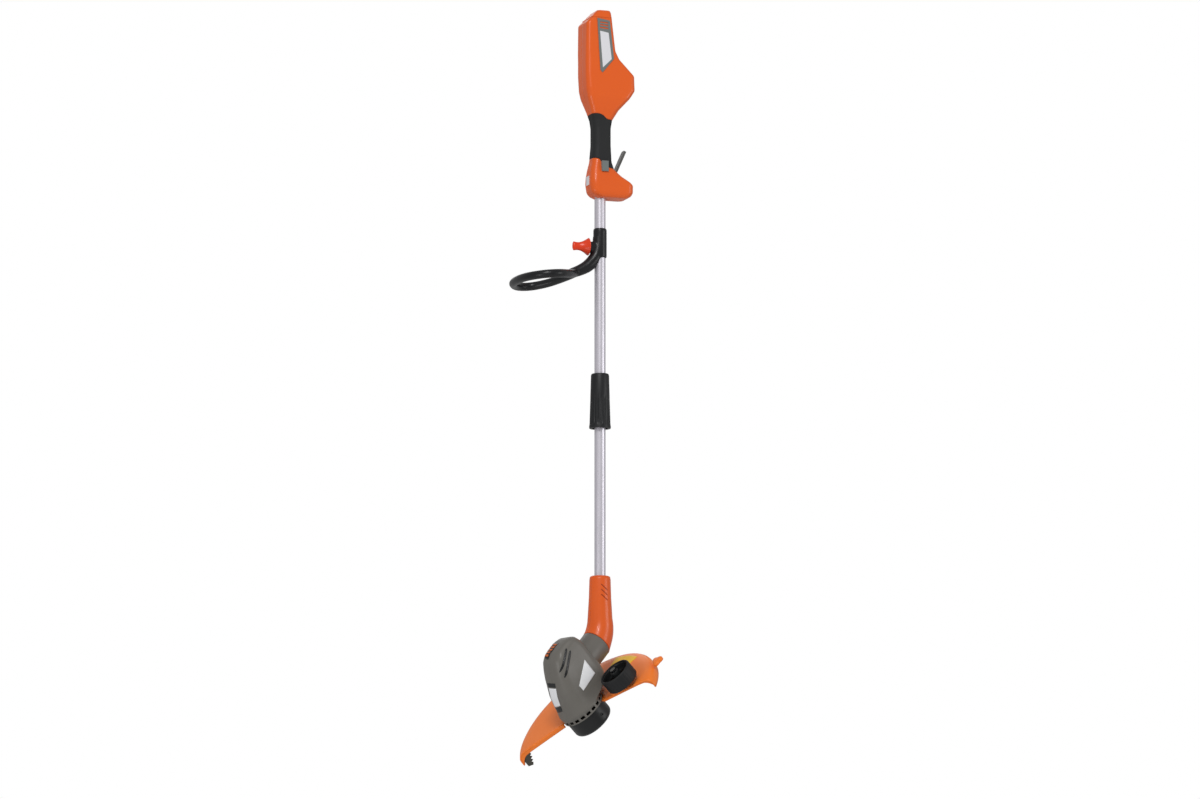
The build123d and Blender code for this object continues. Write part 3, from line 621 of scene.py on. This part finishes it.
for side, name in ((-1, "neck_shell_left"), (1, "neck_shell_right")):
    angle = np.linspace(math.pi, 2 * math.pi, 49) if side < 0 else np.linspace(0, math.pi, 49)
    points = neck_rows(angle)
    points[..., 1] = np.where(np.abs(points[..., 1]) < 0.12, side * 0.12, points[..., 1])
    faces = grid_quads(points.shape[0], 49)
    shell = wall(mesh_piece(name.replace("_shell", ""), points @ neck_turn.T * MM, faces), 0.0026)
    shell.data.materials.append(orange_abs)
    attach(shell, "lower")
    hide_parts(name)

# Painted shade: the groove lines take a darker orange that stands for the shadow in the grooves.
groove_painted_shade = finish("groove_painted_shade_abs", "#A23C12", 0.5, ior=1.46, shade="#96350E", patch_mm=8.0)
GROOVE_TOP, GROOVE_STEP, GROOVE_FALL = -534.0, 10.0, 13.0
t = np.linspace(0, 1, 16)
turn = np.radians(237.0 + 40.0 * t)
size = 1.2 * np.sqrt(np.clip(1 - (2 * t - 1) ** 8, 0.02, 1))
for k in range(3):
    drop = GROOVE_TOP - GROOVE_STEP * k - GROOVE_FALL * t
    reach = np.interp(-drop, -NECK[2:, 0], NECK[2:, 1]) - 0.5
    path = np.stack([reach * np.cos(turn), reach * np.sin(turn), drop], -1)
    line = tube_points(path, size, around=12) @ neck_turn.T
    groove = closed_piece(f"neck_groove_{k + 1}", [(line, False)])
    groove.data.materials.append(groove_painted_shade)
    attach(groove, "lower")

# Head housing: two satin grey ABS mouldings over the motor, screwed together on the middle plane.
# A round rim with air slots carries the guard; a short sleeve meets the neck at the swivel.

head_grey = finish("satin_warm_grey_abs", "#6C6964", 0.4, ior=1.48, shade="#65625C", coat=0.0, grain_mm=1.3,
                   grain_depth=0.03, patch_mm=50.0)
HEAD = np.array([
    (37.0, -46.0, 46.0, 46.0, 45.9), (50.5, -46.0, 46.0, 46.0, 45.9), (52.0, -44.5, 64.0, 45.0, 38.0),
    (58.0, -41.5, 76.0, 43.0, 34.0), (66.0, -38.5, 82.0, 41.0, 31.0), (84.0, -33.0, 85.5, 38.5, 27.0),
    (100.0, -28.0, 86.0, 36.5, 25.0), (131.0, -10.0, 87.0, 33.5, 21.0), (144.0, -1.0, 86.0, 31.5, 19.0),
    (156.0, 9.0, 82.0, 29.0, 17.0), (163.0, 19.0, 74.0, 24.5, 15.0), (165.5, 27.0, 64.0, 19.0, 13.0),
])
head_fine = np.arange(37.0, 165.51, 0.5)
head_table = eased(HEAD, head_fine, 6)
# The rim's own steps keep their sharp corner; the steps from TOP_STEPS up are those of the sloping top.
RIM_STEPS = 26
TOP_STEPS = 200
for column in range(4):
    head_table[column][:RIM_STEPS] = HEAD[0, column + 1]


def head_side(x, height, side=-1, proud=0.0):
    """The housing's side at a place along and a height: the section's half width, less its corner's arc."""
    low, high, half, corner = lerp_rows(np.asarray(height, float), head_table, head_fine)
    past = np.clip(np.abs(x - (low + high) / 2) - ((high - low) / 2 - corner), 0, corner * 0.999)
    return side * (half - corner + np.sqrt(corner ** 2 - past ** 2) + proud)


HEAD_CROWN = 1.6
VENT_EVERY, VENT_HALF = 18, 5.4
middle = np.array([45.5, 0.0, 0.0])
for side, name in ((-1, "head_shell_left"), (1, "head_shell_right")):
    ring = half_ring(side, flat=15, corner=31)
    heights = np.concatenate([[37.0, 39.5, 45.5, 50.5], np.linspace(52.0, 165.5, 70)])
    levels = np.repeat(heights[:, None], len(ring), 1)
    low, high, half, corner = lerp_rows(levels, head_table, head_fine)
    points = rounded(levels, low, high, half, corner, ring)
    crown = points[-1]
    lids = [middle + (crown - middle) * np.array([s, s, 1]) + np.array([0, 0, HEAD_CROWN * (1 - s)])
            for s in (0.8, 0.5, 0.2, 0.01)]
    points = np.concatenate([points, np.stack(lids)])
    quads = grid_quads(points.shape[0], len(ring))
    columns = len(ring) - 1
    row = np.arange(len(quads)) // columns
    place = np.degrees(np.arctan2(points[1, :, 1], points[1, :, 0]))[np.arange(len(quads)) % columns] % 360
    nearest = np.abs((place + 0.7) % VENT_EVERY - VENT_EVERY / 2)
    is_slot = (row == 1) & (nearest < VENT_HALF) & (place > 100) & (place < 330)
    shell = head_piece(name.replace("_shell", "_cover"), points, quads[~is_slot], "head",
                       head_grey, sharp=42)
    wall(shell, 0.0024)
    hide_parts(name)

a = np.linspace(0, 2 * np.pi, 64, endpoint=False)
collar_x = np.array([76.0, 118.4, 119.4, 119.6, 119.6, 117.0])
collar_r = np.array([30.2, 30.2, 29.7, 29.0, 17.2, 17.2])
points = np.stack([np.repeat(collar_x[:, None], 64, 1), collar_r[:, None] * np.cos(a),
                   SPOOL_DROP + collar_r[:, None] * np.sin(a)], -1)
head_piece("swivel_sleeve", points, grid_quads(6, 64, True), "head", head_grey, sharp=40)


def patch(name, corners, lay, material, proud=0.35, count=16):
    """A thin plate bent to the housing: a bilinear grid between four corners, laid on by a function."""
    s, t = np.meshgrid(np.linspace(0, 1, count), np.linspace(0, 1, count), indexing="ij")
    s, t = s[..., None], t[..., None]
    a, b, c, d = (np.array(p, float) for p in corners)
    flat = (a * (1 - s) + b * s) * (1 - t) + (d * (1 - s) + c * s) * t
    points = lay(flat[..., 0], flat[..., 1], proud)
    return wall(head_piece(name, points, grid_quads(count, count), "head", material), 0.0004, 0.0)


def on_side(x, height, proud):
    """Places on the left side of the head housing."""
    return np.stack([x, head_side(x, height, -1, proud), height], -1)


def on_front(y, height, proud):
    """Places on the front of the head housing, at its section's front edge."""
    low, high, half, corner = lerp_rows(height, head_table, head_fine)
    past = np.clip(np.abs(y) - (half - corner), 0, corner * 0.999)
    return np.stack([low + corner - np.sqrt(corner ** 2 - past ** 2) - proud, y, height], -1)


label = finish("white_vinyl_label", "#E9EAEC", 0.35, shade="#DFE0E3", patch_mm=8.0, grain_mm=1.0,
               grain_depth=0.01)
black_gloss = finish("gloss_black_abs", "#141516", 0.25, ior=1.54, shade="#1B1C1E", grain_mm=1.0,
                     grain_depth=0.02)
patch("side_label", [(55, 116), (51, 82), (5, 80), (5.5, 93)], on_side, label)
patch("front_label", [(17, 117), (-6, 114), (0, 82), (21, 80)], on_front, label)
patch("front_insert_high", [(18, 126), (-7, 123), (-6, 116), (17, 119)], on_front, black_gloss)
patch("front_insert_low", [(21, 78), (0, 80), (2, 70), (22, 68)], on_front, black_gloss)


def on_top(x, y, proud):
    """Places on the sloping top: the height of the section's front edge, less a fall near its sides."""
    fall = 1.8 * np.clip((np.abs(y) - 12.0) / 7.0, 0, 1) ** 2
    height = np.interp(x, head_table[0][TOP_STEPS:], head_fine[TOP_STEPS:]) + 1.0 - fall + proud
    return np.stack([x, y, height], -1)


window_orange = finish("orange_window_abs", "#C9662A", 0.4, ior=1.48, shade="#BD5C22", patch_mm=6.0)
patch("top_grille", [(15, 3), (54, -3), (58, 18), (19, 16)], on_top, black_gloss)
for k, (x, y) in enumerate(((20, 4.5), (27, 3.5), (34, 2.5), (41, 1.5), (48, 0.5))):
    corners = [(x, y), (x + 4, y - 0.5), (x + 5.5, y + 12), (x + 1.5, y + 12.5)]
    patch(f"grille_window_{k + 1}", corners, on_top, window_orange, proud=0.8, count=6)
# The two side slots are not cut. They are drawn as thin raised gloss black strips: painted shade that stands
# for the dark hollow of each slot.
SLOTS = [((45.0, 158.5), (-1.0, 138.0)), ((47.0, 150.0), (-4.0, 125.0))]
t = np.linspace(0, 1, 24)
size = 2.6 * np.sqrt(np.clip(1 - (2 * t - 1) ** 8, 0.02, 1))
for k, (start, end) in enumerate(SLOTS):
    x = start[0] + (end[0] - start[0]) * t
    height = start[1] + (end[1] - start[1]) * t
    path = np.stack([x, head_side(x, height, -1, 0.1), height], -1)
    grid = tube_points(path, size, around=16, up=(0.0, 1.0, 0.0), flat=0.5)
    head_piece(f"side_slot_shade_{k + 1}", grid, grid_quads(24, 16, True), "head", black_gloss)

# Guard: bright orange polypropylene, a sector plate that rolls over into an outer skirt, with stiff
# end lips, ribs below and a lug. Three screws hold it to the head's rim. A plain yellow label lies on top.

guard_orange = finish("bright_orange_polypropylene", "#F5812C", 0.36, ior=1.46, shade="#EF7723", coat=0.0,
                      grain_mm=1.5, grain_depth=0.03, patch_mm=60.0)
GUARD_FROM, GUARD_TO = math.radians(-65), math.radians(135)
sweep = np.linspace(GUARD_FROM, GUARD_TO, 121)
guard_r = np.array([44.5, 60.0, 100.0, 136.0, 148.0, 156.0, 161.0, 164.0, 165.0, 165.0, 165.0])
guard_h = np.array([37.0, 37.0, 37.0, 36.8, 36.0, 34.0, 31.0, 27.0, 22.0, 17.0, 12.0])


def on_guard(radius, angle, drop=0.0):
    """Points over the guard: a place out and round, at the sheet's height less a drop."""
    radius, angle, drop = np.broadcast_arrays(radius, angle, drop)
    height = np.interp(radius, guard_r[:9], guard_h[:9]) - drop
    return np.stack([radius * np.cos(angle), radius * np.sin(angle), height], -1)


points = np.stack([guard_r[:, None] * np.cos(sweep), guard_r[:, None] * np.sin(sweep),
                   np.repeat(guard_h[:, None], 121, 1)], -1)[::-1]
guard = head_piece("guard_sheet", points, grid_quads(11, 121), "head", guard_orange)
wall(guard, 0.0025)
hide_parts("guard")
# Each rib's turn in degrees, its depth and its foot at the skirt, in mm; the first two are the end lips.
RIBS = [(-64.5, 5.0, 20.0), (134.5, 9.0, 24.0), (-20, 5.5, 20.0), (30, 5.5, 20.0), (80, 5.5, 20.0)]
SHEET = 1.2
rib_r = np.linspace(50.0, 163.6, 40)
rows = np.linspace(0, 1, 6)[:, None]
for k, (degrees, depth, foot) in enumerate(RIBS):
    drop = depth + np.clip((rib_r - 148.0) / 15.0, 0, 1) ** 1.6 * (foot - depth - 8.0)
    grid = on_guard(rib_r[None, :], math.radians(degrees), SHEET + rows * (drop - SHEET)[None, :])
    rib = head_piece(f"guard_rib_{k + 1}", grid, grid_quads(6, 40), "head", guard_orange)
    wall(rib, 0.0022, 0.0)
phi = np.linspace(0, 2 * np.pi, 60, endpoint=False)
lobe = 10.5 + 2.2 * np.cos(3 * phi)
LUG_R, LUG_WIDER = 176.0, 1.15
LUG = [(27.0, 0.55), (27.4, 0.92), (28.4, 1.0), (33.0, 1.0), (34.2, 0.92), (34.8, 0.55), (34.9, 0.02)]
turn = math.radians(-45)
lug_rows = []
for height, share in LUG:
    radial = LUG_R + lobe * share * np.cos(phi)
    cross = lobe * LUG_WIDER * share * np.sin(phi)
    lug_rows.append(np.stack([radial * math.cos(turn) - cross * math.sin(turn),
                              radial * math.sin(turn) + cross * math.cos(turn), np.full(60, height)], -1))
head_piece("guard_lug", np.stack(lug_rows), grid_quads(7, 60, True), "head", guard_orange)
yellow = finish("yellow_vinyl_label", "#F2C512", 0.4, shade="#E8BA0E", patch_mm=10.0, grain_mm=1.0,
                grain_depth=0.01)
label_t, label_r = np.meshgrid(np.radians(np.linspace(-20, 9, 30)), np.linspace(124.0, 150.0, 14))
grid = on_guard(label_r, label_t, -0.25)[::-1]
tag = head_piece("guard_label", grid, grid_quads(14, 30), "head", yellow)
wall(tag, 0.0003)
boss_r = np.array([9.5, 8.5, 8.0, 7.5, 4.2, 4.2])
boss_h = np.array([36.0, 38.0, 42.5, 43.0, 43.0, 37.0])
WHEEL_AT = (58.0, -86.0)


def turned(centre, radii, heights, around=48):
    """A turned shape: circles of the given radii at the given heights about an upright line."""
    a = np.linspace(0, 2 * np.pi, around, endpoint=False)
    radii, heights = np.asarray(radii, float)[:, None], np.asarray(heights, float)[:, None]
    return np.stack([centre[0] + radii * np.cos(a), centre[1] + radii * np.sin(a), heights + 0 * a], -1)


head_piece("wheel_boss", turned(WHEEL_AT, boss_r, boss_h), grid_quads(6, 48, True), "head",
           guard_orange, sharp=40)

# Edging wheel: a black nylon rim with windows between its spokes and a grooved rubber tyre, turning
# on a steel axle that stands in the guard's boss. A polished cap holds it on.

wheel_nylon = finish("black_wheel_nylon", "#121314", 0.38, ior=1.48, shade="#191B1C", grain_mm=1.0,
                     grain_depth=0.04)
tyre_rubber = finish("black_tyre_rubber", "#141516", 0.58, ior=1.46, shade="#1B1C1E", grain_mm=1.6,
                     grain_depth=0.1, patch_mm=16.0)
web_r = np.array([9.0, 11.0, 13.0, 16.0, 19.0, 22.0, 24.5, 26.5, 27.5, 28.5, 29.5])
web_h = np.array([57.0, 55.0, 54.0, 53.5, 53.5, 54.0, 55.0, 58.0, 63.0, 69.0, 73.2])
web = turned(WHEEL_AT, web_r[::-1], web_h[::-1], 120)
quads = grid_quads(11, 120, True)
row, column = np.arange(len(quads)) // 120, np.arange(len(quads)) % 120
window = (row >= 4) & (row <= 7) & (column % 20 >= 3) & (column % 20 < 17)
face = wall(head_piece("wheel_web", web, quads[~window], "wheel", wheel_nylon), 0.0026)
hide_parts("wheel_rim")
hub_points = turned(WHEEL_AT, [4.1, 8.6, 9.0, 9.0, 8.4, 4.1], [45.0, 45.0, 46.0, 73.0, 74.2, 74.2])
head_piece("wheel_hub", hub_points, grid_quads(6, 48, True), "wheel", wheel_nylon, sharp=40)
tyre_r = np.array([28.6, 30.0, 32.2, 33.3, 33.6, 33.6, 33.3, 32.2, 30.4, 29.4, 28.9])
tyre_h = np.array([46.5, 44.2, 44.4, 45.6, 47.5, 70.5, 72.4, 73.7, 74.0, 73.6, 71.5])
tyre = turned(WHEEL_AT, tyre_r, tyre_h, 180)
TREAD_EVERY, TREAD_DEPTH = 6, 0.7
hub = np.array([WHEEL_AT[0], WHEEL_AT[1], 0.0])
depth = np.zeros((11, 180))
depth[4:6] = np.where(np.arange(180) % TREAD_EVERY < 1, TREAD_DEPTH, 0.0)
direction = (tyre - hub) * np.array([1, 1, 0])
direction /= np.linalg.norm(direction, axis=-1)[..., None]
tyre = tyre - direction * depth[..., None]
band = head_piece("wheel_tread", tyre, grid_quads(11, 180, True), "wheel", tyre_rubber)
wall(band, 0.0014)
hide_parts("wheel_tyre")

# Spool cap and bump knob: black nylon, worn satin by the ground. The line is orange nylon; the cutter
# is a dark steel blade on the guard's far end.

cap_nylon = finish("black_spool_nylon", "#0F1011", 0.36, ior=1.48, shade="#151617", grain_mm=1.2,
                   grain_depth=0.03)
dress(cap_nylon, "spool_cap", "spool_cover", "bump_knob")
line_nylon = finish("orange_trimmer_line", "#E9812A", 0.35, ior=1.53, shade="#D97020", grain_mm=2.0,
                    grain_depth=0.05)
dress(line_nylon, "trimmer_line")
dark_steel = finish("dark_cutter_steel", "#5A5852", 0.38, metallic=0.9, shade="#4A4843", patch_mm=6.0,
                    grain_mm=0.7, grain_depth=0.04)
turn = math.radians(131.0)
teeth = np.array([
    (162.0, 25.0), (162.0, 1.0), (152.0, -1.5), (149.0, 3.0), (152.0, 5.5), (146.0, 8.0), (149.0, 11.5),
    (143.0, 14.5), (146.5, 18.0), (141.5, 20.0), (142.5, 25.0),
])
plates = []
for cross in (-1.0, 1.0):
    plates.append(np.stack([teeth[:, 0] * math.cos(turn) - cross * math.sin(turn),
                            teeth[:, 0] * math.sin(turn) + cross * math.cos(turn), teeth[:, 1]], -1))
n = len(teeth)
sides = [(i, (i + 1) % n, n + (i + 1) % n, n + i) for i in range(n)]
faces = [tuple(range(n))[::-1], tuple(range(n, 2 * n))] + sides
blade = head_piece("cutter_blade", np.concatenate(plates), faces, "head", dark_steel,
                   smooth=False)
seal(blade)
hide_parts("line_cutter")
